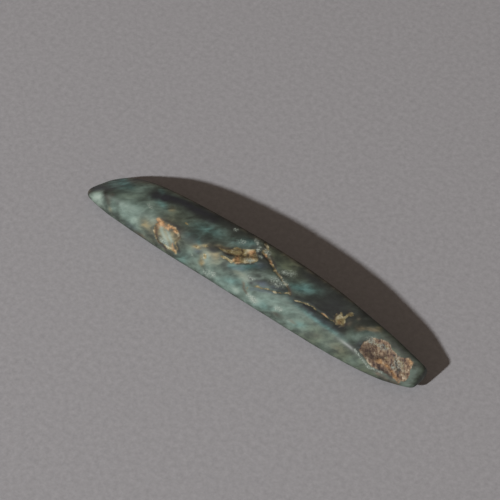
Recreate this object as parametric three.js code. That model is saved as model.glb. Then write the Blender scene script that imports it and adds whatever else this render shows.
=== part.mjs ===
// A greenstone chisel of the ground and polished kind, lying on its flatter back.
// It is one piece of stone: long faces ground along the length, a skewed bevel at the blade,
// a rough natural skin left on a facet at the butt, and a few old hollows and a flake scar.
// +X runs along the chisel to the butt, +Y is the far side, +Z is up, and the origin is on the
// resting surface below the middle of the stone.
import * as THREE from "three";

// Driving dimensions, in millimetres and degrees
const LENGTH_TO_BUTT = 61.7; // from the working middle of the stone to the butt face

// The long faces, read at stations along the stone: x is the station, near and far are the
// edges of the two flanks, shoulder is the height of the near upper shoulder, rise is the
// slope of the top face up towards the far side, under is the height of the underside,
// fillet rounds the meeting of the faces, and core is a point inside, across and up
const STATIONS = [
  { x: -60, near: -4.9, far: 9.4, shoulder: 9.3, rise: 0, under: 2.2, fillet: 0.5, core: [0.2, 2.7] },
  { x: -54, near: -5.6, far: 9.9, shoulder: 9.6, rise: 1, under: 0.7, fillet: 0.6, core: [0.3, 3.0] },
  { x: -45, near: -6.8, far: 10.2, shoulder: 10, rise: 3.5, under: -0.2, fillet: 0.9, core: [0.8, 4.4] },
  { x: -28, near: -8.2, far: 10.3, shoulder: 12.3, rise: 8, under: -0.35, fillet: 1.1, core: [0.9, 6] },
  { x: -8, near: -8.7, far: 10.5, shoulder: 13.4, rise: 9, under: -0.35, fillet: 1.1, core: [0.8, 6.2] },
  { x: 12, near: -8.7, far: 10.6, shoulder: 12.2, rise: 10, under: -0.35, fillet: 0.95, core: [0.7, 6] },
  { x: 30, near: -8.4, far: 9.3, shoulder: 10.3, rise: 14, under: -0.27, fillet: 0.7, core: [0.3, 5.4] },
  { x: 42, near: -7.9, far: 7.5, shoulder: 8.4, rise: 18, under: 0.5, fillet: 0.55, core: [0, 4.8] },
  { x: 52, near: -6.8, far: 5.8, shoulder: 5.8, rise: 26, under: 1.4, fillet: 0.5, core: [-0.4, 4.3] },
  { x: 61, near: -4.6, far: 3.8, shoulder: 4, rise: 28, under: 2.4, fillet: 0.5, core: [-0.6, 4.2] },
];
const NEAR_BULGE = 3.0; // height of the widest line of the near flank, at the reference height
const FAR_BULGE = 4.7;
const REFERENCE_SHOULDER = 12;
const NEAR_LEAN = 18; // how far each flank leans in above that line
const FAR_LEAN = 20;
const UNDERCUT = 42; // how far the sides turn under towards the back

// Planes ground across the ends: turn is the way the plane looks in plan, from +X towards +Y,
// tilt is how far its normal is from straight up, and reach is its distance from the origin
const END_PLANES = {
  bevel: { turn: 152, tilt: 35, reach: 31.7 },
  bladeCorner: { turn: 208, tilt: 64, reach: 48.9 },
  butt: { turn: -5, tilt: 86, reach: LENGTH_TO_BUTT },
  roughFacet: { turn: -40, tilt: 29, reach: 31.5 },
};

// Shallow hollows: centre, half length along the stone's own run, half breadth, turn in plan,
// depth, and how squarely the hollow's wall falls (1 is a soft dish, 3 a walled pan)
const HOLLOWS = {
  bladePit: { at: [-24, -6.4, 8.8], length: 6.2, breadth: 4.6, turn: 8, depth: 0.6, wall: 1.5 },
  topPit: { at: [-1.5, 0.4, 14], length: 6.8, breadth: 2.7, turn: 27, depth: 0.65, wall: 1.5 },
  flakeScar: { at: [10.4, -4.1, 12.2], length: 7.4, breadth: 2.6, turn: 13, depth: 0.6, wall: 2.5 },
  roughSkin: { at: [50.6, -2.6, 7.6], length: 8.4, breadth: 5.0, turn: -14, depth: 0.4, wall: 2.5 },
};

// How finely the skin is divided
const CORE_START = -55; // the core's ends, from which the rays fan out to the blade and the butt
const CORE_END = 57;
const BODY_RINGS = 74;
const CAP_RINGS = 12;
const RAYS = 46;
const LONGEST_RAY = 4; // in units of the section's own half size
const HALVINGS = 24;

const toRadians = THREE.MathUtils.degToRad;

// A smooth curve through one value of the stations, with slopes taken between neighbours
function along(x, read) {
  const last = STATIONS.length - 1;
  const place = THREE.MathUtils.clamp(x, STATIONS[0].x, STATIONS[last].x);
  let index = 0;
  while (index < last - 1 && place >= STATIONS[index + 1].x) {
    index += 1;
  }
  const slopeAt = (i) => {
    const before = STATIONS[Math.max(i - 1, 0)];
    const after = STATIONS[Math.min(i + 1, last)];
    return (read(after) - read(before)) / (after.x - before.x);
  };
  const from = STATIONS[index];
  const to = STATIONS[index + 1];
  const span = to.x - from.x;
  const t = (place - from.x) / span;
  const square = t * t;
  const cube = square * t;
  return (
    (2 * cube - 3 * square + 1) * read(from) +
    (cube - 2 * square + t) * span * slopeAt(index) +
    (3 * square - 2 * cube) * read(to) +
    (cube - square) * span * slopeAt(index + 1)
  );
}

// The long faces' values at one place along the stone
function sectionAt(x) {
  const shoulder = along(x, (s) => s.shoulder);
  const under = along(x, (s) => s.under);
  const size = THREE.MathUtils.clamp(shoulder / REFERENCE_SHOULDER, 0.4, 1.2);
  return {
    near: along(x, (s) => s.near),
    far: along(x, (s) => s.far),
    shoulder,
    rise: toRadians(along(x, (s) => s.rise)),
    under,
    fillet: along(x, (s) => s.fillet),
    nearBulge: NEAR_BULGE * size + Math.max(under, 0),
    farBulge: FAR_BULGE * size + Math.max(under, 0),
  };
}

// How far a point is outside each ground face, with inside negative
function faceDistances(section, point) {
  const { x, y, z } = point;
  const nearLean = toRadians(NEAR_LEAN);
  const farLean = toRadians(FAR_LEAN);
  const undercut = toRadians(UNDERCUT);
  const fromNear = section.near - y;
  const fromFar = y - section.far;
  const shoulderY = section.near + (section.shoulder - section.nearBulge) * Math.tan(nearLean);
  const distances = [
    fromNear * Math.cos(nearLean) + (z - section.nearBulge) * Math.sin(nearLean),
    fromNear * Math.cos(undercut) - (z - section.nearBulge) * Math.sin(undercut),
    section.under - z,
    fromFar * Math.cos(undercut) - (z - section.farBulge) * Math.sin(undercut),
    fromFar * Math.cos(farLean) + (z - section.farBulge) * Math.sin(farLean),
    (shoulderY - y) * Math.sin(section.rise) + (z - section.shoulder) * Math.cos(section.rise),
  ];
  for (const plane of Object.values(END_PLANES)) {
    const turn = toRadians(plane.turn);
    const tilt = toRadians(plane.tilt);
    const sideways = x * Math.cos(turn) + y * Math.sin(turn);
    distances.push(sideways * Math.sin(tilt) + z * Math.cos(tilt) - plane.reach);
  }
  return distances;
}

// The faces meet softly: the largest distance, rounded over the fillet where two are alike
function distanceOutside(point) {
  const section = sectionAt(point.x);
  const distances = faceDistances(section, point);
  const largest = Math.max(...distances);
  const sum = distances.reduce((total, d) => total + Math.exp((d - largest) / section.fillet), 0);
  return largest + section.fillet * Math.log(sum);
}

// How far along a ray the stone's skin is, by halving
function reachAlong(origin, direction, longest) {
  let inside = 0;
  let outside = longest;
  const point = new THREE.Vector3();
  for (let step = 0; step < HALVINGS; step += 1) {
    const middle = (inside + outside) / 2;
    point.copy(origin).addScaledVector(direction, middle);
    if (distanceOutside(point) < 0) {
      inside = middle;
    } else {
      outside = middle;
    }
  }
  return inside;
}

// How deep the hollows are at a point of the skin: a dish over an oval, deepest at its middle
function hollowDepth(point) {
  let depth = 0;
  for (const hollow of Object.values(HOLLOWS)) {
    const turn = toRadians(hollow.turn);
    const [atX, atY, atZ] = hollow.at;
    const run = (point.x - atX) * Math.cos(turn) + (point.y - atY) * Math.sin(turn);
    const sideways = (point.y - atY) * Math.cos(turn) - (point.x - atX) * Math.sin(turn);
    const across = Math.hypot(sideways, point.z - atZ);
    const share = (run / hollow.length) ** 2 + (across / hollow.breadth) ** 2;
    depth += share < 1 ? hollow.depth * (1 - share ** hollow.wall) : 0;
  }
  return depth;
}

// The stone's core at one place: a point inside, and the half breadth and half height round it
function coreAt(x) {
  const origin = new THREE.Vector3(x, along(x, (s) => s.core[0]), along(x, (s) => s.core[1]));
  const reachTo = (dy, dz) => reachAlong(origin, new THREE.Vector3(0, dy, dz), 25);
  return {
    origin,
    halfBreadth: (reachTo(1, 0) + reachTo(-1, 0)) / 2,
    halfHeight: (reachTo(0, 1) + reachTo(0, -1)) / 2,
  };
}

// One ring of skin: fan is the angle by which its rays lean from square towards an end,
// and endReach is how far that end is from the core
function ringOf(core, fan, endReach) {
  const ring = [];
  for (let ray = 0; ray < RAYS; ray += 1) {
    const round = (2 * Math.PI * ray) / RAYS;
    const direction = new THREE.Vector3(
      Math.sin(fan) * endReach,
      Math.cos(fan) * Math.cos(round) * core.halfBreadth,
      Math.cos(fan) * Math.sin(round) * core.halfHeight,
    );
    const reach = reachAlong(core.origin, direction, LONGEST_RAY);
    const point = core.origin.clone().addScaledVector(direction, reach);
    point.addScaledVector(direction.normalize(), -hollowDepth(point));
    point.z = Math.max(point.z, 0);
    ring.push(point);
  }
  return ring;
}

// The tip of a fan: the skin straight out from the core's end
function poleOf(core, way) {
  const direction = new THREE.Vector3(way, 0, 0);
  const reach = reachAlong(core.origin, direction, 25);
  return { reach, point: core.origin.clone().addScaledVector(direction, reach) };
}

// The stone's skin from blade to butt: rings and the two closing points
function skinOfStone() {
  const bladeCore = coreAt(CORE_START);
  const buttCore = coreAt(CORE_END);
  const bladePole = poleOf(bladeCore, -1);
  const buttPole = poleOf(buttCore, 1);
  const rings = [];
  for (let step = 1; step < CAP_RINGS; step += 1) {
    const fan = (Math.PI / 2) * (1 - step / CAP_RINGS);
    rings.push(ringOf(bladeCore, -fan, bladePole.reach));
  }
  for (let step = 0; step <= BODY_RINGS; step += 1) {
    const x = THREE.MathUtils.lerp(CORE_START, CORE_END, step / BODY_RINGS);
    rings.push(ringOf(coreAt(x), 0, 1));
  }
  for (let step = 1; step < CAP_RINGS; step += 1) {
    const fan = (Math.PI / 2) * (step / CAP_RINGS);
    rings.push(ringOf(buttCore, fan, buttPole.reach));
  }
  return { rings, start: bladePole.point, end: buttPole.point };
}

// The closed skin as triangles, all facing out
function stoneGeometry() {
  const { rings, start, end } = skinOfStone();
  const points = [start, ...rings.flat(), end];
  const at = (ring, ray) => 1 + ring * RAYS + (ray % RAYS);
  const lastRing = rings.length - 1;
  const lastPoint = points.length - 1;
  const triangles = [];
  for (let ray = 0; ray < RAYS; ray += 1) {
    triangles.push(0, at(0, ray + 1), at(0, ray));
    for (let ring = 0; ring < lastRing; ring += 1) {
      const corners = [at(ring, ray), at(ring, ray + 1), at(ring + 1, ray + 1), at(ring + 1, ray)];
      triangles.push(corners[0], corners[1], corners[2]);
      triangles.push(corners[0], corners[2], corners[3]);
    }
    triangles.push(at(lastRing, ray), at(lastRing, ray + 1), lastPoint);
  }
  const geometry = new THREE.BufferGeometry().setFromPoints(points);
  geometry.setIndex(triangles);
  geometry.computeVertexNormals();
  return geometry;
}

// Sets the stone over the origin: its middle in plan, and its flat on the resting surface
function centred(geometry) {
  geometry.computeBoundingBox();
  const middle = geometry.boundingBox.getCenter(new THREE.Vector3());
  geometry.translate(-middle.x, -middle.y, 0);
  return geometry;
}

const greenstone = new THREE.MeshStandardMaterial({ color: 0x56655c, roughness: 0.38, metalness: 0 });

const chisel = new THREE.Mesh(centred(stoneGeometry()), greenstone);
chisel.name = "chisel";

const part = new THREE.Group();
part.add(chisel);

export default part;
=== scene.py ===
"""A greenstone chisel: a long, narrow nephrite blade, ground and polished, lying on its back.

The stone is one closed surface. Its long faces and its ends have the named values of the
solid that it dresses, and so do its hollows, but for a softer flake scar and rough skin.
Everything finer is worked out here: the uneven grinding, the pitted rust stains, the crack,
the lip of the flake scar and the grain of the rough outer skin at the butt. Some tones also
carry painted light: a painted highlight and sheen along the ridge, painted highlights on the
scar's lip and the blade tip, and painted shade on the bevel, along the far side and its rim,
under the crack and beside the top pit and the scar's lip.
"""

from __future__ import annotations

import logging
from dataclasses import dataclass, field
from enum import Enum
from typing import Any

import bpy
import numpy as np
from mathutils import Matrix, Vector


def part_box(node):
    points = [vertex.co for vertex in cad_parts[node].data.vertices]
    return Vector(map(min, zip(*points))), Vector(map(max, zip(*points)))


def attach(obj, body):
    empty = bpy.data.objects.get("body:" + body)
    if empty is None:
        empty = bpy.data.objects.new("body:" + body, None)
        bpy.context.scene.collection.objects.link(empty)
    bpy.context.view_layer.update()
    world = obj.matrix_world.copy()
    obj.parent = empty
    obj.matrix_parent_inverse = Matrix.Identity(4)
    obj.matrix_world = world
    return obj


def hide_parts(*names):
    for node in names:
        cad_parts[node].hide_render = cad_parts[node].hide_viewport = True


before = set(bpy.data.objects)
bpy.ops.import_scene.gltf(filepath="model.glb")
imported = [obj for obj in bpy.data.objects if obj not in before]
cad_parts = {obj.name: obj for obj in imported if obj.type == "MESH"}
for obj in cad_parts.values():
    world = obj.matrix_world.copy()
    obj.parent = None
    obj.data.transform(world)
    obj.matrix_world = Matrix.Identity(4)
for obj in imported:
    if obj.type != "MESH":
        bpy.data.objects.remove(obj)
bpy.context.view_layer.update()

log = logging.getLogger("greenstone_chisel")

NODE = "chisel"
DULL = "dull_polish"  # the attribute that says where the polish has gone
MM = 0.001  # metres in a millimetre

Floats = np.ndarray
Socket = bpy.types.NodeSocket
Tree = bpy.types.NodeTree
Point2 = tuple[float, float]
Point3 = tuple[float, float, float]


def linear(hex_colour: str) -> tuple[float, float, float, float]:
    """Turns an sRGB hex colour into linear light.

    Args:
        hex_colour: six hex digits after a hash.

    Returns:
        Red, green, blue and an alpha of one, as linear values.
    """
    shares = [int(hex_colour[i : i + 2], 16) / 255 for i in (1, 3, 5)]
    lit = [s / 12.92 if s <= 0.04045 else ((s + 0.055) / 1.055) ** 2.4 for s in shares]
    return (lit[0], lit[1], lit[2], 1.0)


def ease(values: Floats, low: float, high: float) -> Floats:
    """Rises smoothly from 0 at low to 1 at high: three squares less two cubes of the share.

    Args:
        values: where it is read.
        low: the value at which the rise starts.
        high: the value at which it ends.

    Returns:
        The rise at each value.
    """
    share = np.clip((values - low) / (high - low), 0, 1)
    return share * share * (3 - 2 * share)


@dataclass(frozen=True)
class Grain:
    """Seeded value noise in space: a lattice of random numbers, blended smoothly between."""

    seed: int
    lattice: int = 48
    layer_shift: float = 7.3

    def single(self, points: Floats, size: float) -> Floats:
        """One layer of noise: the eight corners of a point's cell, weighted by eased shares.

        Args:
            points: points in millimetres, with x, y and z last.
            size: the width of a lattice cell in millimetres.

        Returns:
            A value from 0 to 1 at each point.
        """
        table = np.random.default_rng(self.seed).random((self.lattice,) * 3)
        place = points / size
        cell = np.floor(place).astype(int)
        share = place - cell
        share = share * share * (3 - 2 * share)
        total = np.zeros(points.shape[:-1])
        for corner in np.ndindex(2, 2, 2):
            at = (cell + corner) % self.lattice
            weight = np.where(corner, share, 1 - share).prod(-1)
            total += weight * table[at[..., 0], at[..., 1], at[..., 2]]
        return total

    def layered(self, points: Floats, size: float, layers: int = 4) -> Floats:
        """Layers of noise, each half the size and half the strength of the one before.

        Args:
            points: points in millimetres.
            size: the cell width of the coarsest layer.
            layers: how many layers there are.

        Returns:
            A value from 0 to 1, mostly near 0.5.
        """
        weights = 0.5 ** np.arange(layers)
        parts = [
            weights[i] * self.single(points + self.layer_shift * i, size * weights[i])
            for i in range(layers)
        ]
        return np.sum(parts, axis=0) / weights.sum()


@dataclass(frozen=True)
class Station:
    """The long faces at one place along the stone, in millimetres and degrees.

    near and far are the edges of the flanks, shoulder is the height of the near upper
    shoulder, rise is the top face's slope up to the far side, under is the height of the
    underside, fillet rounds the faces' meeting, and the core is a point inside.
    """

    x: float
    near: float
    far: float
    shoulder: float
    rise: float
    under: float
    fillet: float
    core_y: float
    core_z: float


@dataclass(frozen=True)
class GroundPlane:
    """A plane ground across an end: where it looks in plan, its tilt, and its reach."""

    turn: float
    tilt: float
    reach: float

    def outside(self, points: Floats) -> Floats:
        """How far points are outside the plane: their reach along its normal, less its own."""
        turn, tilt = np.radians((self.turn, self.tilt))
        level = np.sin(tilt)
        normal = np.array((np.cos(turn) * level, np.sin(turn) * level, np.cos(tilt)))
        return points @ normal - self.reach


@dataclass(frozen=True)
class Hollow:
    """A shallow dish over an oval: its centre, half sizes, turn in plan, depth and wall."""

    at: Point3
    length: float
    breadth: float
    turn: float
    depth: float
    wall: float

    def depth_at(self, points: Floats) -> Floats:
        """How deep the dish is: its depth, less the oval share raised to the wall's power.

        Args:
            points: points of the skin, in millimetres.

        Returns:
            The depth at each point, 0 outside the oval.
        """
        turn = np.radians(self.turn)
        dx, dy, dz = np.moveaxis(points - np.array(self.at), -1, 0)
        run = dx * np.cos(turn) + dy * np.sin(turn)
        sideways = dy * np.cos(turn) - dx * np.sin(turn)
        across = np.hypot(sideways, dz)
        share = (run / self.length) ** 2 + (across / self.breadth) ** 2
        return self.depth * (1 - np.minimum(share, 1) ** self.wall)


@dataclass
class Chart:
    """The skin of the stone as a grid, with the way along it and the way round it.

    points has a row for each ring and a column for each ray. inward is the unit way into
    the stone at each point. girth is the distance round the section from the near upper
    shoulder: above 0 over the top towards the far side, and below 0 down the near flank.
    """

    points: Floats
    inward: Floats
    girth: Floats

    @property
    def along(self) -> Floats:
        """The place along the stone, in millimetres from its working middle."""
        return self.points[..., 0]


@dataclass
class StoneForm:
    """The ground form of the chisel, in the solid's values but for the two softer hollows.

    The stations were set starting from a fit to the outline and the cast shadow.
    """

    stations: tuple[Station, ...] = (
        Station(-60, -4.9, 9.4, 9.3, 0, 2.2, 0.5, 0.2, 2.7),
        Station(-54, -5.6, 9.9, 9.6, 1, 0.7, 0.6, 0.3, 3.0),
        Station(-45, -6.8, 10.2, 10, 3.5, -0.2, 0.9, 0.8, 4.4),
        Station(-28, -8.2, 10.3, 12.3, 8, -0.35, 1.1, 0.9, 6),
        Station(-8, -8.7, 10.5, 13.4, 9, -0.35, 1.1, 0.8, 6.2),
        Station(12, -8.7, 10.6, 12.2, 10, -0.35, 0.95, 0.7, 6),
        Station(30, -8.4, 9.3, 10.3, 14, -0.27, 0.7, 0.3, 5.4),
        Station(42, -7.9, 7.5, 8.4, 18, 0.5, 0.55, 0, 4.8),
        Station(52, -6.8, 5.8, 5.8, 26, 1.4, 0.5, -0.4, 4.3),
        Station(61, -4.6, 3.8, 4, 28, 2.4, 0.5, -0.6, 4.2),
    )
    bevel: GroundPlane = GroundPlane(152, 35, 31.7)
    blade_corner: GroundPlane = GroundPlane(208, 64, 48.9)
    butt: GroundPlane = GroundPlane(-5, 86, 61.7)
    rough_facet: GroundPlane = GroundPlane(-40, 29, 31.5)
    blade_pit: Hollow = Hollow((-24, -6.4, 8.8), 6.2, 4.6, 8, 0.6, 1.5)
    top_pit: Hollow = Hollow((-1.5, 0.4, 14), 6.8, 2.7, 27, 0.65, 1.5)
    flake_scar: Hollow = Hollow((10.4, -4.1, 12.2), 7.4, 2.6, 13, 0.5, 1.2)
    rough_skin: Hollow = Hollow((50.6, -2.6, 7.6), 8.4, 5.0, -14, 0.4, 1.2)
    near_bulge: float = 3.0
    far_bulge: float = 4.7
    reference_shoulder: float = 12
    size_range: Point2 = (0.4, 1.2)
    near_lean: float = 18
    far_lean: float = 20
    undercut: float = 42
    core_start: float = -55
    core_end: float = 57
    body_rings: int = 408
    cap_rings: int = 34
    rays: int = 198
    longest_ray: float = 4
    longest_reach: float = 25
    halvings: int = 22

    def along(self, x: Floats, name: str) -> Floats:
        """A smooth curve through one value of the stations: a cubic with shared slopes.

        Args:
            x: places along the stone.
            name: the station's field to read.

        Returns:
            The value at each place.
        """
        at = np.array([s.x for s in self.stations], float)
        value = np.array([getattr(s, name) for s in self.stations], float)
        slope = np.empty_like(value)
        slope[1:-1] = (value[2:] - value[:-2]) / (at[2:] - at[:-2])
        slope[0] = (value[1] - value[0]) / (at[1] - at[0])
        slope[-1] = (value[-1] - value[-2]) / (at[-1] - at[-2])
        x = np.clip(x, at[0], at[-1])
        index = np.clip(np.searchsorted(at, x, side="right") - 1, 0, len(at) - 2)
        span = at[index + 1] - at[index]
        t = (x - at[index]) / span
        square, cube = t * t, t * t * t
        return (
            (2 * cube - 3 * square + 1) * value[index]
            + (cube - 2 * square + t) * span * slope[index]
            + (3 * square - 2 * cube) * value[index + 1]
            + (cube - square) * span * slope[index + 1]
        )

    def near_shoulder(self, x: Floats) -> tuple[Floats, Floats, Floats]:
        """The near flank's widest line and upper shoulder.

        Args:
            x: places along the stone.

        Returns:
            The height of the widest line, and the shoulder's place across and up.
        """
        shoulder = self.along(x, "shoulder")
        size = np.clip(shoulder / self.reference_shoulder, *self.size_range)
        bulge = self.near_bulge * size + np.maximum(self.along(x, "under"), 0)
        across = self.along(x, "near") + (shoulder - bulge) * np.tan(np.radians(self.near_lean))
        return bulge, across, shoulder

    def outside(self, points: Floats) -> Floats:
        """How far points are outside the stone.

        The distances to the ten ground faces meet softly: the largest of them, plus the
        fillet times the logarithm of the summed exponentials of how far each falls short.

        Args:
            points: points in millimetres.

        Returns:
            The soft distance, below 0 inside the stone.
        """
        x, y, z = np.moveaxis(points, -1, 0)
        near, far, under = (self.along(x, n) for n in ("near", "far", "under"))
        rise, fillet = np.radians(self.along(x, "rise")), self.along(x, "fillet")
        near_bulge, shoulder_y, shoulder = self.near_shoulder(x)
        size = np.clip(shoulder / self.reference_shoulder, *self.size_range)
        far_bulge = self.far_bulge * size + np.maximum(under, 0)
        lean_n, lean_f, cut = np.radians((self.near_lean, self.far_lean, self.undercut))
        faces = np.stack((
            (near - y) * np.cos(lean_n) + (z - near_bulge) * np.sin(lean_n),
            (near - y) * np.cos(cut) - (z - near_bulge) * np.sin(cut),
            under - z,
            (y - far) * np.cos(cut) - (z - far_bulge) * np.sin(cut),
            (y - far) * np.cos(lean_f) + (z - far_bulge) * np.sin(lean_f),
            (shoulder_y - y) * np.sin(rise) + (z - shoulder) * np.cos(rise),
            self.bevel.outside(points),
            self.blade_corner.outside(points),
            self.butt.outside(points),
            self.rough_facet.outside(points),
        ))
        largest = faces.max(0)
        return largest + fillet * np.log(np.exp((faces - largest) / fillet).sum(0))

    def reach(self, origin: Floats, way: Floats, longest: float) -> Floats:
        """How far along rays the skin is, by halving the stretch that holds it.

        Args:
            origin: where the rays start, inside the stone.
            way: the rays' directions.
            longest: the furthest that is tried, in lengths of the direction.

        Returns:
            The reach of each ray.
        """
        shape = np.broadcast_shapes(origin.shape, way.shape)[:-1]
        inner, outer = np.zeros(shape), np.full(shape, longest)
        for _ in range(self.halvings):
            middle = (inner + outer) / 2
            inside = self.outside(origin + middle[..., None] * way) < 0
            inner = np.where(inside, middle, inner)
            outer = np.where(inside, outer, middle)
        return inner

    def skin(self) -> Chart:
        """The skin as rings of rays about the core, which fan out to the blade and the butt.

        A ray's way is the ellipse of the core's half breadth and half height, leaned
        towards the end by the ring's fan angle.

        Returns:
            The chart of the skin, before any hollow or relief.
        """
        cap = self.cap_rings - 1
        body = np.linspace(self.core_start, self.core_end, self.body_rings + 1)
        core_x = np.r_[np.full(cap, self.core_start), body, np.full(cap, self.core_end)]
        lean = np.pi / 2 * np.arange(1, cap + 1) / self.cap_rings
        fan = np.r_[-lean[::-1], np.zeros(len(body)), lean]
        core = np.stack(
            (core_x, self.along(core_x, "core_y"), self.along(core_x, "core_z")), -1
        )
        unit = np.eye(3)
        half_breadth, half_height = (
            sum(self.reach(core, way * unit[axis][None], self.longest_reach) for way in (1, -1)) / 2
            for axis in (1, 2)
        )
        blade_reach, butt_reach = (
            self.reach(core[[end]], way * unit[0][None], self.longest_reach)[0]
            for end, way in ((0, -1), (-1, 1))
        )
        round_angle = 2 * np.pi * np.arange(self.rays) / self.rays
        end_reach = np.where(fan < 0, blade_reach, butt_reach)
        way = np.stack(
            (
                np.repeat((np.sin(fan) * end_reach)[:, None], self.rays, 1),
                (np.cos(fan) * half_breadth)[:, None] * np.cos(round_angle),
                (np.cos(fan) * half_height)[:, None] * np.sin(round_angle),
            ),
            -1,
        )
        reach = self.reach(core[:, None], way, self.longest_ray)
        points = core[:, None] + reach[..., None] * way
        girth = self.girth_of(points, core, half_breadth, half_height)
        return Chart(points, -way / np.linalg.norm(way, axis=-1, keepdims=True), girth)

    def girth_of(
        self, points: Floats, core: Floats, half_breadth: Floats, half_height: Floats
    ) -> Floats:
        """The distance round each ring from the ray that passes the near shoulder.

        Args:
            points: the skin's grid.
            core: the core point of each ring.
            half_breadth: the core's half breadth at each ring.
            half_height: the core's half height at each ring.

        Returns:
            The signed distance round the ring at each point.
        """
        closed = np.concatenate((points, points[:, :1]), 1)
        steps = np.linalg.norm(np.diff(closed, axis=1), axis=-1)
        travelled = np.concatenate((np.zeros((len(points), 1)), np.cumsum(steps, 1)), 1)
        _, across, height = self.near_shoulder(core[:, 0])
        shoulder_angle = np.arctan2(
            (height - core[:, 2]) / half_height, (across - core[:, 1]) / half_breadth
        )
        place = (shoulder_angle % (2 * np.pi)) / (2 * np.pi) * self.rays
        index = np.floor(place).astype(int)
        share = place - index
        row = np.arange(len(points))
        start = travelled[row, index] * (1 - share) + travelled[row, index + 1] * share
        total = travelled[:, -1:]
        girth = start[:, None] - travelled[:, :-1]
        return (girth + total / 2) % total - total / 2

    def hollow_depth(self, points: Floats) -> Floats:
        """How deep the hollows are at points of the skin, all dishes together."""
        dishes = (self.blade_pit, self.top_pit, self.flake_scar, self.rough_skin)
        return sum(dish.depth_at(points) for dish in dishes)


class Tone(Enum):
    """The stone's colours and its painted highlights, sheen and shade, each named by the attribute that
    carries it.
    """

    PALE = "pale_jade"
    TEAL = "teal_jade"
    SLATE = "slate_jade"
    DARK = "dark_jade"
    OLIVE = "olive_jade"
    BROWN = "brown_stain"
    BLACK = "black_oxide"
    RUST = "rust"
    GOLD = "stain_gold"
    STAIN = "stain_dark"
    MIST = "mist"
    CREAM = "cream_rind"
    CORTEX = "cortex"
    WHITE = "white_crystal"


@dataclass(frozen=True)
class Cloud:
    """A soft oval of one tone: place, half sizes, turn in degrees and strength."""

    x: float
    girth: float
    length: float
    breadth: float
    turn: float = 0
    strength: float = 1

    def mask(self, along: Floats, girth: Floats) -> Floats:
        """A bell over the oval: the strength times two to the power of minus the share."""
        turn = np.radians(self.turn)
        dx, dg = along - self.x, girth - self.girth
        run = (dx * np.cos(turn) + dg * np.sin(turn)) / self.length
        across = (dg * np.cos(turn) - dx * np.sin(turn)) / self.breadth
        return self.strength * np.exp2(-(run**2) - across**2)


@dataclass(frozen=True)
class Vein:
    """A line of one tone through points of the chart: half width and strength."""

    path: tuple[Point2, ...]
    width: float
    strength: float = 1

    def distance(self, along: Floats, girth: Floats) -> Floats:
        """The distance to the nearest stretch of the path, in millimetres.

        Args:
            along: places along the stone.
            girth: places round it.

        Returns:
            The distance at each place.
        """
        nearest = np.full(along.shape, np.inf)
        for (x0, g0), (x1, g1) in zip(self.path, self.path[1:]):
            run_x, run_g = x1 - x0, g1 - g0
            square = run_x**2 + run_g**2
            share = np.clip(((along - x0) * run_x + (girth - g0) * run_g) / square, 0, 1)
            gap = np.hypot(along - x0 - share * run_x, girth - g0 - share * run_g)
            nearest = np.minimum(nearest, gap)
        return nearest

    def mask(self, along: Floats, girth: Floats) -> Floats:
        """A bell across the line, half as strong at its half width."""
        return self.strength * np.exp2(-((self.distance(along, girth) / self.width) ** 2))


@dataclass(frozen=True)
class Patch:
    """An outlined area of the chart: its corners, in order, and the width of its edge."""

    outline: tuple[Point2, ...]
    edge: float = 0.6
    strength: float = 1

    def inside(self, along: Floats, girth: Floats) -> Floats:
        """The distance inside the outline, below 0 outside it.

        The distance is to the nearest side, and the sign is by the even and odd rule.

        Args:
            along: places along the stone.
            girth: places round it.

        Returns:
            The signed distance in millimetres.
        """
        closed = Vein((*self.outline, self.outline[0]), 1)
        odd = np.zeros(along.shape, bool)
        for (x0, g0), (x1, g1) in zip(closed.path, closed.path[1:]):
            spans = (g0 > girth) != (g1 > girth)
            crossing = x0 + (girth - g0) / (g1 - g0 if g1 != g0 else 1) * (x1 - x0)
            odd ^= spans & (along < crossing)
        return np.where(odd, 1, -1) * closed.distance(along, girth)

    def mask(self, along: Floats, girth: Floats) -> Floats:
        """The strength inside, falling through half at the outline over the edge's width."""
        return self.strength * np.clip(0.5 + self.inside(along, girth) / self.edge, 0, 1)


Shape = Cloud | Vein | Patch

BLADE_PIT = Patch((
    (-29.1, -0.6), (-27.2, 0.4), (-24, 0.6), (-21.6, 0.2), (-20.6, -1.5), (-21.7, -4.4),
    (-20.2, -5.6), (-20.4, -7.1), (-24, -7.1), (-27.2, -6.6), (-29, -4.7), (-29.5, -2),
))
TOP_PIT = Patch((
    (-8.9, 2), (-6, 2.6), (-4.6, 4), (-3.9, 5.6), (-1.7, 6.4), (0.2, 7.3), (1.1, 8.6), (2.1, 7.2),
    (3.2, 6.4), (4.2, 5.3), (3.5, 3.8), (1.8, 2.4), (-0.3, 1), (-1.6, 0.9), (-2.2, 2.6), (-5, 1.5),
))
CORTEX = Patch((
    (43.4, 0.9), (43.5, 3.6), (44.4, 5.9), (46.5, 7.1), (49.6, 8.2), (50.9, 7), (54.2, 6.4),
    (55.4, 6.9), (57.5, 7.1), (58.2, 4.6), (59.1, 1.5), (58.6, 0.1), (55.3, 0), (52, -0.2),
    (48.7, -1), (46.1, -0.2), (43.9, 0.6),
))
BLADE_RIM = Vein((*BLADE_PIT.outline, BLADE_PIT.outline[0]), 0.5, 0.63)
CRACK_WIDE = Vein((
    (1.9, 12.3), (2.9, 10.9), (4.3, 10.2), (3.4, 8.8), (5, 8), (6.8, 7.4), (8.3, 6.8), (9.9, 5.9),
), 0.4, 0.85)
CRACK_MIDDLE = Vein((
    (9.9, 5.9), (11.6, 5.1), (13.4, 4.6), (15.1, 4.2), (16.7, 3.3), (18, 2.2),
), 0.33, 0.72)
CRACK_FINE = Vein((
    (19.6, 1.5), (20.6, 1.8), (22, 2.2), (23.6, 2.7), (25.3, 3.1), (27.5, 2.8), (29.5, 3.1),
    (31.2, 2.7), (33, 3.2),
), 0.25, 0.63)
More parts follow.
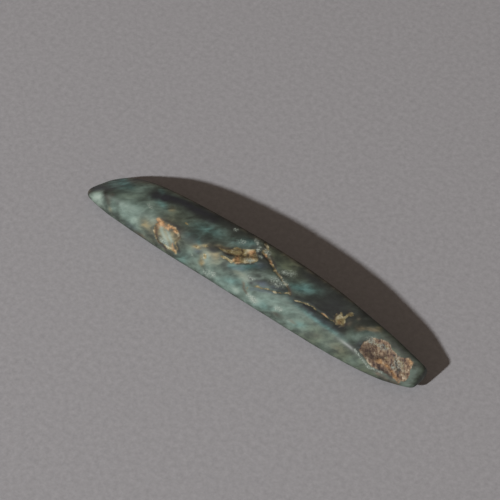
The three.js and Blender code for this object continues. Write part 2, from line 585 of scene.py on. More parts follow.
# the lip is a painted highlight along the flake scar's step, laid in the cream tone with its flecks
LIP = Vein((
    (5.4, -4.3), (5.5, -3.3), (6.8, -2.4), (8.3, -1.6), (9.9, -1.1), (11.6, -0.4), (14, 0.2),
    (15.8, 1.1), (17.1, 2), (17.6, 2.8),
), 0.24, 0.66)
PIT_STREAKS = (
    Vein(((-28, -1), (-26.4, -3.6), (-24.6, -5.8)), 0.7, 0.8),
    Vein(((-25.6, -0.9), (-24, -3.2), (-22.4, -5)), 0.6, 0.7),
)
# the blade tip's pale patch is painted light where the tip's near facet faces the lamp, over pale stone
BLADE_TIP = Patch((
    (-55.6, -4.4), (-54.4, -2.8), (-52.8, -1.2), (-51.8, -0.6), (-51, -1.6), (-50.1, -3.4),
    (-49.4, -5), (-51.5, -5.8), (-54.2, -5.8),
), 2.0)


# Each tone's shapes: along the stone, then round it, in millimetres
SHAPES: dict[Tone, tuple[Shape, ...]] = {
    Tone.PALE: (
        Cloud(-38.6, -1, 6.2, 3.4, -8), Cloud(-51.2, 5.2, 2.4, 1.4, -10, 0.8),
        Cloud(-32.6, 1.6, 3.2, 2.2, -15, 0.7), Cloud(-36.6, -4.2, 3.6, 2.2, 5, 0.9),
        Cloud(-30.6, 4.6, 2.6, 1.4, -10, 0.5), Cloud(-41, 8.2, 2.2, 1.6, 60, 0.45),
        Cloud(-43, 5.4, 3.4, 2.4, 20, 0.35), Cloud(-46.4, -2.4, 1.6, 2, 0, 0.8),
        Cloud(-36.9, 5.6, 0.6, 0.6, 0, 0.6), Cloud(-16.5, -5, 4, 3, 30, 0.6),
        Cloud(-2, -8.2, 7, 1.4, 0, 0.8), Cloud(-47.6, -3.6, 2, 1.2, 0, 0.7),
        Cloud(40.4, 2.6, 1.6, 1.2, 40, 0.4), Cloud(-8, -4.4, 3.4, 2.2, 40, 0.7),
        Cloud(-1, -5.6, 6, 2.8, 15, 0.7), Cloud(3.6, -0.9, 2.4, 0.9, 14, 0.7),
        Cloud(8.4, 2.8, 3.4, 0.9, 34, 0.25), Cloud(8, -6, 2.8, 1.8, 20, 0.9), Cloud(13.4, -3, 5, 2.2, 22),
        Cloud(20, -3.4, 5, 2.4, 32, 0.9), Cloud(25, -5.4, 4.4, 1.6, 20, 0.6),
        Cloud(27, -1.4, 6, 1.2, 0, 0.2), Cloud(34, -4.6, 3.4, 2.4, 50, 0.5),
        Cloud(41.9, 4.6, 4.2, 1, 48, 0.7), Cloud(43.2, -3.4, 2.6, 1.6, 40, 0.4),
    ),
    Tone.TEAL: (
        Cloud(-50.8, 5.4, 3, 1.7, 10), Cloud(-52, 8.8, 3.8, 2.2, -30), Cloud(-47, 7.2, 2.6, 1, -20, 0.6),
        Cloud(-34.6, 9, 1.6, 0.8, -30, 0.35), Cloud(-31.5, 5.2, 2.2, 0.8, -10, 0.6),
        Cloud(-2.8, 7.8, 2.8, 1, 30, 0.55), Cloud(-14.5, 0.4, 1.4, 0.6, 0, 0.7),
        Cloud(-17.5, 0.6, 2.4, 1.2, 30, 0.4), Cloud(-14, 5.2, 4, 1.6, 10, 0.5),
        Vein(((-1.6, -0.8), (1.6, 0.9), (3.4, 2.6), (5, 4.4)), 0.8, 0.95),
        Cloud(20.6, 6.4, 3.4, 1.3, 25, 0.55), Cloud(18.8, 5.2, 2.4, 0.7, 20, 0.5),
        Cloud(42.8, 6.6, 1.5, 0.8, 30, 0.6), Cloud(-18, -7.5, 2.4, 1.5, 50, 0.6),
        Cloud(1, -4.4, 4, 1.2, 30, 0.4), Cloud(13, -5.2, 4, 1.4, 30, 0.4),
        # the long cloud at 29.5 along the ridge is painted sheen: the bluish reflection of the lamp
        # beside the ridge's highlight
        Cloud(24, -4.4, 2.4, 0.8, 30, 0.5), Cloud(29.5, 0.5, 7, 0.6, 0, 0.75),
    ),
    Tone.SLATE: (
        Cloud(-37.9, -6.4, 1.8, 0.9, 0, 0.6), Cloud(-12.8, -2, 1.6, 0.8, 20, 0.6),
        # the cloud at 8.3 and the two veins after it follow the flake scar's lip: painted shade beside
        # its step, over the stone's slate colour
        Cloud(8.3, -0.2, 2.2, 0.7, 14),
        Vein(((6.6, -3.4), (9, -2.2), (12.4, -0.6), (15.5, 0.8)), 0.4, 0.6),
        Vein(((12.4, 1), (14.4, 1.8), (16, 2.4)), 0.5, 0.8), Cloud(5.6, 4.6, 2, 1.2, 34, 0.8),
        # the long cloud at 28 along the ridge is painted sheen: a bluish reflection of the lamp above the
        # ridge
        Cloud(0.8, 0.2, 2.4, 0.7, 30, 0.6), Cloud(28, 1.2, 8, 0.5, 0, 0.6),
        Cloud(43, 1.7, 1.2, 1.1, -60, 0.7), Cloud(-55.6, -0.4, 2.2, 1.4, 20, 0.7),
    ),
    Tone.DARK: (
        # this vein runs along the blade's bevel, which faces away from the lamp: painted shade over dark
        # stone
        Vein(((-57.6, -1.6), (-54.6, 0.4), (-51.9, 1.7), (-47.6, 2.8), (-45, 4.3)), 1.3),
        Vein(((-50.3, -0.8), (-47.6, 0.2)), 0.9, 0.9), Cloud(-49, 2.2, 3.4, 1.1, 18, 0.75),
        # these two veins are the dark band along the far side: painted shade where the surface turns away
        # from the lamp, over dark stone
        Vein(((-37.2, 8.6), (-35.6, 7.2), (-31, 7.4), (-27, 8.8), (-22, 9), (-16, 9.2)), 1.4),
        Vein(((-16, 9.2), (-8, 9.6), (-1, 10.4)), 1.4, 0.9), Cloud(-22, 3.4, 7, 2.4, 0, 0.3),
        # the clouds at -28 and -20 darken the near shoulder: painted shade that damps its highlight
        Cloud(-28, 1.6, 2.2, 0.8, 0, 0.6), Cloud(-20, 0.8, 2.6, 0.9, 0, 0.5),
        Cloud(-54.5, 0.8, 3, 1.1, 10, 0.8), Cloud(0.6, 9.4, 2.4, 0.7, 5, 0.8),
        Cloud(-9, 5, 5, 2.4, 20, 0.2), Cloud(-12, 2, 7, 1.2, 5, 0.5),
        Cloud(-45.4, 5.2, 2.4, 1.6, 30, 0.75), Cloud(20.4, 2.2, 2.6, 0.9, 0, 0.8),
        Cloud(18.4, 9.6, 2.6, 1.4, 0, 0.6), Cloud(42.6, 9.6, 2, 1.2, 0, 0.7),
        # the cloud at -18 darkens the near shoulder too: painted shade that damps its highlight
        Cloud(-18, 0.4, 9, 0.8, 0, 0.45), Cloud(-19.5, -1, 1.2, 2.4, 0, 0.5),
        # the vein from -10.4 follows the top pit's upper rim: painted shade
        Vein(((-10.4, 1.4), (-8, 2), (-5.6, 3.4), (-3.8, 4.6)), 0.5, 0.6), Cloud(31, 9.6, 6.5, 3),
        Cloud(32, 5.6, 7, 2.8), Cloud(22, 10.6, 4, 1.6, 0, 0.8), Cloud(39, 8.6, 3.4, 2.6, 30),
        Vein(((19, 1.4), (25, 1.9), (32, 2), (37, 2.4)), 0.8), Cloud(26, 4, 3.6, 1.2, 0, 0.6),
        Cloud(12.6, 2.2, 3.4, 0.8, 22, 0.6), Cloud(14, 6.2, 2, 1, 30, 0.5),
        Cloud(6.6, 5.6, 2.4, 0.8, 0, 0.7), Cloud(53, 8.2, 3, 0.9, -20, 0.8),
        Cloud(57.4, 8.4, 1, 0.7, 0, 0.9), Cloud(50, 10.8, 8, 1, -20, 0.6),
        Cloud(46.4, 9.4, 3.6, 1, -10, 0.6), Cloud(49, 9, 5, 0.8, -14, 0.5),
        Cloud(12, 1.4, 3.4, 0.7, 20, 0.5), Cloud(8.6, 0.4, 2.4, 0.7, 20, 0.7),
    ),
    Tone.OLIVE: (
        Cloud(-43.2, 2.6, 2.6, 2.2, 0, 0.6), Cloud(-26, 3.6, 6, 2, 0, 0.4),
        Cloud(12.4, 10, 6, 2.4, 0, 0.9), Cloud(6.6, 11.8, 2.6, 1.4),
        Cloud(-16.4, -2.2, 2.4, 1.4, 20, 0.5), Cloud(36, -3, 9, 3, 5, 0.75),
        Cloud(31, -5.4, 7, 2.2, 0, 0.6), Cloud(-20, -7, 6, 1.2, 0, 0.4),
        Cloud(49.6, 8.8, 6, 1.2, -14, 0.9), Cloud(47, -4, 4, 1.6, 20, 0.5),
    ),
    Tone.BROWN: (
        Cloud(-49, 10.6, 3, 1.2, -30, 0.5), Cloud(-43, 11, 2.8, 1.4, 0, 0.5),
        Cloud(-47.9, -2.6, 0.9, 1.4, 10, 0.7), Cloud(-34.4, -7.8, 2.4, 0.9, 0, 0.8),
        Cloud(-57, -3.4, 1.3, 0.9, -30, 0.9), Cloud(-30.6, -4.4, 1, 1.8, 0, 0.5),
        # the two long clouds at the far rim are painted shade: a brown band in the cast shadow's colour
        Cloud(-25, 12.2, 30, 1.1, 0, 0.8), Cloud(20, 12.4, 22, 1.1, 0, 0.8),
        Vein(((4, -2.8), (4.4, -4.6), (5.6, -5.6)), 0.5, 0.6), Cloud(17.1, -5.9, 1.8, 0.6, 15, 0.8),
        Cloud(21.8, -4.7, 1.4, 0.4, 0, 0.6), Vein(((51, -1.5), (54, -1.7), (57, -1.3)), 0.6, 0.8),
        Cloud(29, -4.6, 3, 0.8, 30, 0.4), Cloud(37, -3.4, 3, 1.3, 20, 0.4),
        Vein(((39.8, 5.6), (42.2, 7.2), (44.4, 8.4)), 0.7, 0.9), Cloud(38.3, 8.2, 0.5, 0.5, 0, 0.6),
        Cloud(36.8, 5.4, 0.6, 1, 0, 0.4),
    ),
    Tone.GOLD: (
        Cloud(-33.2, -3.1, 1.7, 1.6), Cloud(-28, 5.3, 1, 0.7, 0, 0.6),
        Patch(BLADE_PIT.outline, 1.2, 0.95), Cloud(-24.6, -2.8, 4.6, 3.6, -20, 0.55),
        Cloud(-14, -1.1, 1.3, 0.6, 14, 0.9), Cloud(-11.3, 0.5, 1.5, 0.5, 16, 0.8),
        Cloud(-8, -1.7, 2.2, 1.8, 20, 0.5),
        Vein(((-7.2, -0.4), (-9.6, -1.2), (-10.9, -3), (-10.9, -5.4)), 0.8, 0.85),
        Cloud(0.6, 4.6, 4.4, 1.8, 34, 0.5), Cloud(-6.6, 2.6, 2.2, 0.6, 14, 0.7),
        Cloud(2.6, -1.3, 2.8, 0.7, 8, 0.35), Vein(((40.2, 6), (42.8, 7.6), (45.2, 9.2)), 0.5, 0.25),
        Cloud(45.2, 9.3, 0.8, 0.6, 10, 0.7), Cloud(-47, -4.4, 1.2, 0.7, -50, 0.35),
    ),
    Tone.MIST: (
        # BLADE_TIP paints light on the tip's near facet
        BLADE_TIP, Cloud(-36.6, -3.6, 2, 1.2, 10, 0.3), Cloud(-8.6, -2, 1.8, 1.6, 20, 0.25),
        Cloud(-40.6, -0.8, 3.4, 1.4, -10, 0.35), Cloud(-32, 0.8, 2, 1.2, 0, 0.3),
        Cloud(8.2, -6.2, 1.6, 1, 20, 0.7), Cloud(15.4, -3.4, 2.4, 0.9, 20, 0.6),
        Cloud(1.9, -7, 1.2, 0.9, 0, 0.6), Cloud(3.7, -1.5, 2.2, 0.8, 12, 0.45),
        Cloud(-10, -2.6, 1.1, 1.4, 10, 0.8), Cloud(-24.6, -3.4, 2, 1.6, 0, 0.35),
        Cloud(-25.4, -6.4, 2, 0.7, -15, 0.6), Cloud(20, -5, 1.6, 0.8, 20, 0.4), *PIT_STREAKS,
        Cloud(42.4, 5, 2.6, 0.6, 50, 0.3), Cloud(-51.2, 5.2, 1.8, 0.9, -10, 0.3),
        Vein(((6.2, 0), (7.6, 0.9), (8.6, 1.8)), 0.25, 0.5),
    ),
    Tone.CORTEX: (
        CORTEX,
    ),
    Tone.CREAM: (
        # LIP lays a painted highlight along the flake scar's lip
        BLADE_RIM, TOP_PIT, CRACK_WIDE, CRACK_MIDDLE, CRACK_FINE, LIP,
        Vein(((-5.7, 0.3), (-3.8, 0.4), (-2, 0.6)), 0.35, 0.95), Cloud(-20.8, 3.6, 0.9, 0.35, -8, 0.9),
        Cloud(-11.3, 0.5, 1, 0.35, 16, 0.7), Cloud(-14, -1.1, 1, 0.4, 14, 0.8),
        Cloud(-10.4, -2.4, 0.6, 0.9, 16, 0.75), Cloud(55.6, 4.4, 2, 0.8, -52, 0.55),
        Cloud(53.4, 4.4, 2, 0.6, -52, 0.5), Cloud(46.8, 5.6, 1.4, 0.5, 30, 0.55),
        Cloud(49, 6.8, 1.4, 0.5, 20, 0.55), Cloud(46.6, 1.4, 1, 0.5, 20, 0.55),
        Cloud(51, 3.4, 1.4, 0.5, -40, 0.5), Cloud(34.2, 4.4, 1.5, 1.3),
        Cloud(35.9, 7.7, 0.9, 0.6, 40, 0.8), Vein(((32.4, 5.2), (34.2, 4.6), (34, 3)), 0.35, 0.9),
        Vein(((33.4, 6.4), (34.2, 4.6), (35.8, 4)), 0.35, 0.9),
        Vein(((34.6, 5.4), (35.4, 7.2)), 0.3, 0.75),
    ),
    Tone.RUST: (
        Vein(((-29.2, 0.1), (-26.4, 0), (-24, 0.3), (-22, 0)), 0.5, 0.8),
        Cloud(-28.9, -1.9, 0.7, 1.8, 10, 0.8), Cloud(-28, -0.3, 1, 0.7, 0, 0.8),
        Cloud(-28.4, -4.6, 0.5, 1, 30, 0.6), Cloud(-22.4, -5, 0.5, 0.8, 10, 0.6),
        Cloud(-21.3, -6.8, 0.8, 0.4, -10, 0.7), Cloud(-1.4, 2.6, 0.7, 0.9, 30),
        Cloud(-0.6, 1.7, 0.9, 0.6, 30, 0.8), Cloud(1.1, 6.9, 0.6, 1.1, -40),
        Cloud(1.9, 5.4, 0.7, 0.7, 0, 0.7), Vein(((4.6, 8.2), (6.2, 7.7), (8, 7)), 0.3, 0.8),
        Vein(((28.6, 3), (30.4, 3)), 0.22, 0.6), Cloud(49.7, 1.7, 1, 0.6),
        Cloud(47.8, 0.9, 0.9, 0.5, 10, 0.5),
        Vein(((52, 1.9), (53.4, 1.2), (54.7, 0.6), (57.1, -0.4)), 0.4, 0.8),
        Cloud(56.9, 6.2, 1, 0.9, 0, 0.45), Cloud(47.4, 5.4, 1, 0.6, 20, 0.4),
        Cloud(34.5, 3.8, 0.5, 0.6, 0, 0.7), Cloud(-25.6, -0.7, 1.6, 0.6, -6, 0.6),
    ),
    Tone.STAIN: (
        Vein(((-29.2, -2.8), (-28.7, -4), (-28.2, -5.3), (-27.2, -6.7), (-24.4, -7.6)), 0.4),
        Cloud(-20.9, -5.6, 1, 0.6, -20, 0.9), Cloud(-21.4, -1.2, 0.8, 1, 0, 0.5),
        Cloud(-47.6, 0.2, 1.2, 0.8, 10, 0.55),
        Vein(((-50.6, -0.6), (-49.2, -1.6), (-48.2, -3)), 0.6, 0.5),
        Vein(((-28.4, 0.9), (-25.2, 1.3), (-22, 1.1), (-20.6, -0.2)), 0.4, 0.7),
        Vein(((-20.4, -1), (-21.2, -3.4), (-20.2, -5)), 0.35, 0.7),
        # this vein and the small cloud after it are painted shade along the top pit's upper rim
        Vein(((-8.6, 1.8), (-6, 3.2), (-3.8, 4.3)), 0.3, 0.7), Cloud(-3.3, 4.8, 0.4, 0.3, 0, 0.7),
        Vein(((0.2, 3), (0.9, 4.4), (0.4, 5.6)), 0.3, 0.6),
        Vein(((-0.2, 0.9), (1.8, 2.1), (3.6, 3.8)), 0.25, 0.7),
        Vein(((2.4, 12), (3, 10.8), (3.4, 9.8)), 0.35, 0.8),
        Vein(((4, 9.1), (6.4, 8.5), (8.6, 7.5), (9.8, 6.6)), 0.25, 0.8),
        Vein(((3.8, 8), (6.4, 7), (8.6, 6.2)), 0.25, 0.8), Vein(((10.6, 5.6), (12.8, 4.9)), 0.35, 0.55),
        Vein(((15.6, 4), (17, 3.3), (18, 2.4)), 0.45, 0.75), Cloud(45.4, 2.8, 2, 2, 20, 0.5),
        Cloud(47, 1, 2.4, 0.9, 0, 0.45), Cloud(49.2, 2.7, 1, 0.5, 20, 0.9),
        Vein(((50.2, 5.6), (50.3, 4.2), (50, 3)), 0.3, 0.7),
        Vein(((52.6, 5.8), (54.2, 3.6), (56, 1.6)), 0.25, 0.6),
        Vein(((55, 6.2), (56.6, 3.8), (58.2, 1.4)), 0.22, 0.5),
        Vein(((50.6, -0.4), (53, 0.2), (55, -0.4)), 0.3, 0.7),
        Vein(((32.5, 6), (32.5, 4), (33.6, 2.9)), 0.3, 0.8),
        Vein(((34.4, 2.9), (35.8, 3.4), (36.4, 4.6)), 0.3, 0.8),
        Vein(((34.8, 8.4), (35.1, 7.2)), 0.3, 0.7),
    ),
    Tone.BLACK: (
        # these first clouds and the vein below make the dark band along the far side: painted shade where
        # the surface turns from the lamp, over dark stone
        Cloud(-35.6, 7.1, 1.6, 1.2, 20), Cloud(-35.4, 7, 1.1, 0.8, 20), Cloud(-32, 7.2, 1.6, 0.6, 8, 0.9),
        Vein(((-33, 8.2), (-29.2, 8.9), (-25, 9.4), (-21.5, 8.9), (-15, 9.3)), 1.1),
        Cloud(-17.6, 7.8, 1.6, 0.6, 0, 0.6), Cloud(-19.5, -6, 0.8, 0.7, 0, 0.9),
        Cloud(-4.2, 1.9, 1.7, 0.45, 10), Cloud(-9, 0.6, 1.2, 0.5, 10, 0.95),
        Cloud(2.9, 7.8, 0.7, 0.5, -40), Cloud(4.7, 7.3, 0.8, 0.5, 0, 0.9), Cloud(5.4, -0.5, 0.6, 0.3, 30),
        Cloud(6.2, -1.7, 0.6, 0.35, 30, 0.9), Cloud(51, 0.1, 1.2, 0.25, 0, 0.9),
        # the vein from 23.2 is a painted shadow under the fine crack
        Vein(((23.2, 2), (25, 2.2), (27, 2.1)), 0.4, 0.9), Cloud(35.4, 2.8, 1.2, 0.5, 30, 0.7),
        Cloud(30, 7.6, 4, 1.6, 0, 0.45), Cloud(20, 10.4, 5, 1.2, 0, 0.45), Cloud(27, 5.2, 5, 1.2, 0, 0.4),
        Cloud(39.5, 10.2, 3, 1, 0, 0.4), Cloud(3.6, 6.4, 1.6, 0.7, -20, 0.6),
        # painted shade: the dark band along the far rim
        Vein(((-22, 10.3), (-14, 10.6), (-8, 10.8)), 0.8, 0.5),
        Vein(((20, 2.8), (24, 3.7), (32, 3.9)), 0.4, 0.5),
    ),
    Tone.WHITE: (
        Cloud(-34.3, 2.9, 1, 0.4, -20, 0.5), Cloud(-14.7, -4.4, 0.35, 0.3, 0, 0.9),
        Cloud(-25.4, -6, 1.5, 0.5, -22, 0.55), Cloud(-7.4, 9.9, 0.6, 0.4, 0, 0.8),
        Cloud(0, 10.2, 0.9, 0.4, -30, 0.8), Cloud(1.9, 8.6, 0.45, 0.6), Cloud(4.1, 6.9, 0.5, 0.4),
        Cloud(4.6, 9.4, 0.9, 0.5, -25, 0.9), Cloud(2.2, 3.9, 0.8, 0.6, 20, 0.9),
        Cloud(12.4, 6.7, 0.8, 0.4, 40, 0.85), Cloud(14.2, 7.8, 1.5, 1, 20, 0.33),
        Cloud(12.8, 3.2, 2, 1.3, 20, 0.42), Cloud(-3.4, 7.8, 1.4, 0.7, 30, 0.32),
        Cloud(8.1, -6.2, 1.2, 0.8, 0, 0.95), Cloud(6.4, -5.8, 0.6, 0.5, 30, 0.8),
        Cloud(16.7, -3.7, 1.1, 0.6, 30, 0.7), Cloud(-8.6, -7.6, 1.6, 1.2, 40, 0.4),
        Cloud(-6.4, -6.5, 0.5, 0.9, -20, 0.7), Cloud(5.6, -0.3, 0.9, 0.3, 10, 0.7),
        Cloud(14.8, 4.3, 0.7, 0.3, 0, 0.7), Cloud(44.6, 5.1, 1, 0.7, 10, 0.55),
        Cloud(53.8, 2.2, 0.6, 0.4, -40, 0.7), Cloud(54.4, 4.2, 2.2, 1.4, -50, 0.33),
        Cloud(48.4, 6, 1.8, 0.8, 20, 0.4),
        # these two veins along the ridge's edge by the rough skin are a painted highlight: white flecks
        # where the edge catches the lamp
        Vein(((42.6, 0.1), (44.2, -0.5), (45.9, -1.2), (47.6, -1.6)), 0.3, 0.5),
        Vein(((47.6, -1.6), (49.8, -1.1), (51.8, -0.6)), 0.3, 0.45),
    ),
}


@dataclass
class StoneMarks:
    """What lies in the stone and on it, with painted highlights, sheen and shade, read along it and round
    it from the near shoulder.
    """

    shapes: dict[Tone, tuple[Shape, ...]] = field(default_factory=lambda: SHAPES)
    warp: float = 0.7
    warp_size: float = 1.6
    warp_along: Grain = Grain(11)
    warp_round: Grain = Grain(12)
    dull_from: Point2 = (-48, -38)
    dull_to: Point2 = (34, 40)
    turned_away: Point2 = (9, 15)
    rind_edge: Point2 = (-2.5, -0.5)

    def masks(self, chart: Chart) -> dict[Tone, Floats]:
        """Each tone's mask: its shapes laid over one another on a gently warped chart.

        Shapes of one tone combine as one less the product of what each leaves.

        Args:
            chart: the skin's chart.

        Returns:
            A value from 0 to 1 at each point, for each tone.
        """
        along, girth = (
            straight + self.warp * (grain.layered(chart.points, self.warp_size, 3) - 0.5)
            for straight, grain in ((chart.along, self.warp_along), (chart.girth, self.warp_round))
        )
        found = {}
        for tone, shapes in self.shapes.items():
            left = np.ones(along.shape)
            for shape in shapes:
                left *= 1 - shape.mask(along, girth)
            found[tone] = 1 - left
        return found

    def dullness(self, chart: Chart) -> Floats:
        """Where the polish is dull: over the weathered middle, and on the far and under sides.

        Args:
            chart: the skin's chart.

        Returns:
            A value from 0, polished, to 1, dull.
        """
        along = chart.along
        middle = ease(along, *self.dull_from) * (1 - ease(along, *self.dull_to))
        turned = ease(np.abs(chart.girth), *self.turned_away)
        rind = ease(CORTEX.inside(along, chart.girth), *self.rind_edge)
        return np.maximum(np.maximum(middle, turned), rind)


@dataclass
class StoneRelief:
    """The fine relief of the skin, all of it cut inwards, in millimetres."""

    inset: float = 0.05
    grinding: Grain = Grain(21)
    grinding_depth: float = 0.14
    grinding_size: float = 9.0
    ripple: Grain = Grain(22)
    ripple_depth: float = 0.05
    ripple_size: float = 2.4
    pits: Grain = Grain(23)
    pit_depth: float = 0.22
    pit_size: float = 1.3
    pit_middle: float = 0.4
    pit_swing: float = 1.2
    cortex: Grain = Grain(24)
    cortex_depth: float = 0.34
    cortex_size: float = 1.2
    cortex_swing: float = 2.2
    crack_depth: float = 0.5  # for each millimetre of the crack's half width
    scar_depth: float = 0.3
    scar_width: float = 2.8
    scar_from: Point2 = (5, 6.5)
    scar_to: Point2 = (14, 18)
    lip_fall: Point2 = (-0.1, 0.25)

    def depth(self, chart: Chart, masks: dict[Tone, Floats]) -> Floats:
        """How far the skin lies in from the ground form.

        Uneven grinding all over, grains in the rusty pits and the cortex, a narrow bell
        along the crack, and a step that falls away above the lip of the flake scar.

        Args:
            chart: the skin's chart.
            masks: the tones' masks on it.

        Returns:
            The depth at each point, never below 0.
        """
        points, along, girth = chart.points, chart.along, chart.girth
        ground = self.grinding.layered(points, self.grinding_size, 2)
        depth = self.inset + self.grinding_depth * ground
        depth += self.ripple_depth * self.ripple.layered(points, self.ripple_size, 3)
        grains = self.pit_middle + self.pit_swing * (
            self.pits.layered(points, self.pit_size, 3) - 0.5
        )
        depth += self.pit_depth * masks[Tone.CREAM] * grains
        coarse = self.cortex.layered(points, self.cortex_size, 4) - 0.5
        crumbs = np.clip(0.5 + self.cortex_swing * coarse, 0, 1)
        depth += self.cortex_depth * masks[Tone.CORTEX] * crumbs
        for part in (CRACK_WIDE, CRACK_MIDDLE, CRACK_FINE):
            depth += self.crack_depth * part.width * part.mask(along, girth)
        above = np.interp(along, *np.array(LIP.path[1:]).T)
        step = girth - above
        reach = ease(along, *self.scar_from) * (1 - ease(along, *self.scar_to))
        fall = ease(step, *self.lip_fall) * (1 - ease(step, self.lip_fall[1], self.scar_width))
        depth += self.scar_depth * reach * fall
        return np.maximum(depth, 0)


def add_node(
    tree: Tree, kind: str, inputs: dict[Any, Any] | None = None, **settings: Any
) -> bpy.types.Node:
    """Adds a node with its settings, and gives each named input its value or link.

    Args:
        tree: the node tree.
        kind: the node's type.
        inputs: a value or a socket for inputs, by name or number.
        settings: the node's own properties.

    Returns:
        The new node.
    """
    node = tree.nodes.new(kind)
    for name, value in settings.items():
        setattr(node, name, value)
    for key, value in (inputs or {}).items():
        if isinstance(value, Socket):
            tree.links.new(value, node.inputs[key])
        else:
            node.inputs[key].default_value = value
    return node


class Lay(Enum):
    """How a tone lies in the stone: clouded into it, or in crisp patches on it."""

    CLOUDED = "clouded"
    CRISP = "crisp"


@dataclass(frozen=True)
class ToneFinish:
    """How one tone is laid over the ground: its shades from low to high, and its edge."""

    tone: Tone
    lay: Lay
    shades: tuple[str, ...]
    ragged: float
    edge: float = 0.2


@dataclass(frozen=True)
class Patterns:
    """The noises that the stone's tones share, as sockets of its node tree."""

    drift: Socket
    wisps: Socket
    blots: Socket
    crust: Socket
    grain: Socket


@dataclass(frozen=True)
class PolishedNephrite:
    """Ground and polished nephrite with rust stains and a rough brown rind.

    Nephrite is a felt of fine fibres, so it takes a soft, waxy polish and shows cloudy
    green and grey bands, and iron in its cracks has weathered to cream, gold and brown.
    Some of its tones also carry painted highlights, sheen and shade.
    """

    name: str = "polished_nephrite"
    ior: float = 1.61
    ground: tuple[str, ...] = ("#252b23", "#333b32", "#404a40", "#4c584e", "#59685e")
    cloud_mm: float = 5.0
    wisp_mm: float = 2.0
    fibre_mm: float = 1.0  # the real fibres are far too fine to show, so they are drawn this wide
    cloud_stretch: float = 1.4
    wisp_stretch: float = 2.2
    fibre_stretch: float = 3.6
    blot_stretch: float = 1.3
    fibre_way: Point3 = (0.80, 0.40, 0.45)
    rind_way: Point3 = (0.57, -0.62, -0.54)
    rind_stretch: float = 2.2
    blot_mm: float = 1.5
    rind_mm: float = 0.7
    grain_mm: float = 0.4  # real crystal grain is finer, and this is the finest that shows
    wisp_share: float = 0.45
    fibre_share: float = 0.25
    blot_share: float = 0.4
    fleck_share: float = 0.22
    shade_span: Point2 = (0.36, 0.64)  # the middle of a noise's range, where nearly all of it lies
    drift_span: Point2 = (0.4, 0.6)
    ground_span: Point2 = (0.35, 0.65)
    swing_span: Point2 = (0.38, 0.62)
    ragged_gain: float = 3.0
    cut: float = 0.5
    present_span: Point2 = (0.02, 0.25)
    bump_strength: float = 0.1
    bump_mm: float = 0.1
    polish: float = 0.48
    dull: float = 0.72
    rough: float = 0.9
    tones: tuple[ToneFinish, ...] = (
        ToneFinish(Tone.OLIVE, Lay.CLOUDED, ("#3a4131", "#4d5441", "#5e664e"), 0.5),
        ToneFinish(Tone.DARK, Lay.CLOUDED, ("#171b17", "#20241f", "#2c322b"), 0.3),
        ToneFinish(Tone.PALE, Lay.CLOUDED, ("#5c6f66", "#6a7e75", "#798e84"), 0.25),
        ToneFinish(Tone.TEAL, Lay.CLOUDED, ("#335350", "#48706d", "#628a86"), 0.5),
        ToneFinish(Tone.SLATE, Lay.CLOUDED, ("#1f262b", "#303b43", "#48565f"), 0.5),
        ToneFinish(Tone.BROWN, Lay.CLOUDED, ("#38332a", "#4e483b", "#635b4b"), 0.5),
        ToneFinish(Tone.GOLD, Lay.CLOUDED, ("#4e4732", "#6f6547", "#8d815e"), 0.5),
        ToneFinish(Tone.MIST, Lay.CLOUDED, ("#7c8d83", "#8b9c91", "#9aa99e"), 0.2),
        ToneFinish(Tone.CORTEX, Lay.CRISP,
                   ("#261d1d", "#523f37", "#7d6753", "#998770", "#c6baa3"), 0.5),
        ToneFinish(Tone.CREAM, Lay.CRISP,
                   ("#44381f", "#6a5b3a", "#83764f", "#9c9270", "#b9b295"), 0.45),
        ToneFinish(Tone.RUST, Lay.CRISP, ("#46331f", "#765737", "#9d7750", "#c19d72"), 0.6, 0.5),
        ToneFinish(Tone.STAIN, Lay.CLOUDED, ("#1e1916", "#2c241f", "#3d322b"), 0.4),
        ToneFinish(Tone.BLACK, Lay.CLOUDED, ("#0f1015", "#1a1b22"), 0.3),
        ToneFinish(Tone.WHITE, Lay.CRISP, ("#6f7a70", "#89948b", "#a6b0a5"), 0.7, 0.8),
    )

    def texture(
        self, tree: Tree, way: Point3, stretch: float, size_mm: float, twist: float
    ) -> Socket:
        """Noise in the stone, drawn out along one way through it.

        Args:
            tree: the material's tree.
            way: the direction of the grain.
            stretch: how many times longer than wide the grain is.
            size_mm: the width of the grain.
            twist: how far the noise is bent by itself.

        Returns:
            The noise's value.
        """
        x, y, z = way
        place = add_node(tree, "ShaderNodeTexCoord").outputs["Object"]
        turned = add_node(tree, "ShaderNodeMapping", {
            "Vector": place, "Rotation": (0, -float(np.arcsin(z)), float(np.arctan2(y, x))),
            "Scale": (stretch, 1, 1),
        }, vector_type="TEXTURE")
        noise = add_node(tree, "ShaderNodeTexNoise", {
            "Vector": turned.outputs[0], "Scale": 1 / (size_mm * MM), "Detail": 3,
            "Roughness": 0.5, "Distortion": twist,
        })
        return noise.outputs["Fac"]

    def spread(
        self, tree: Tree, value: Socket, shades: tuple[str, ...]
    ) -> Socket:
        """Spreads shades evenly over the middle of the noise's range, and returns the colour."""
        made = add_node(tree, "ShaderNodeValToRGB", {"Fac": value})
        stops = made.color_ramp.elements
        places = np.linspace(*self.shade_span, len(shades))
        stops[0].position, stops[1].position = places[0], places[-1]
        for place in places[1:-1]:
            stops.new(place)
        for stop, shade in zip(stops, shades):
            stop.color = linear(shade)
        return made.outputs["Color"]

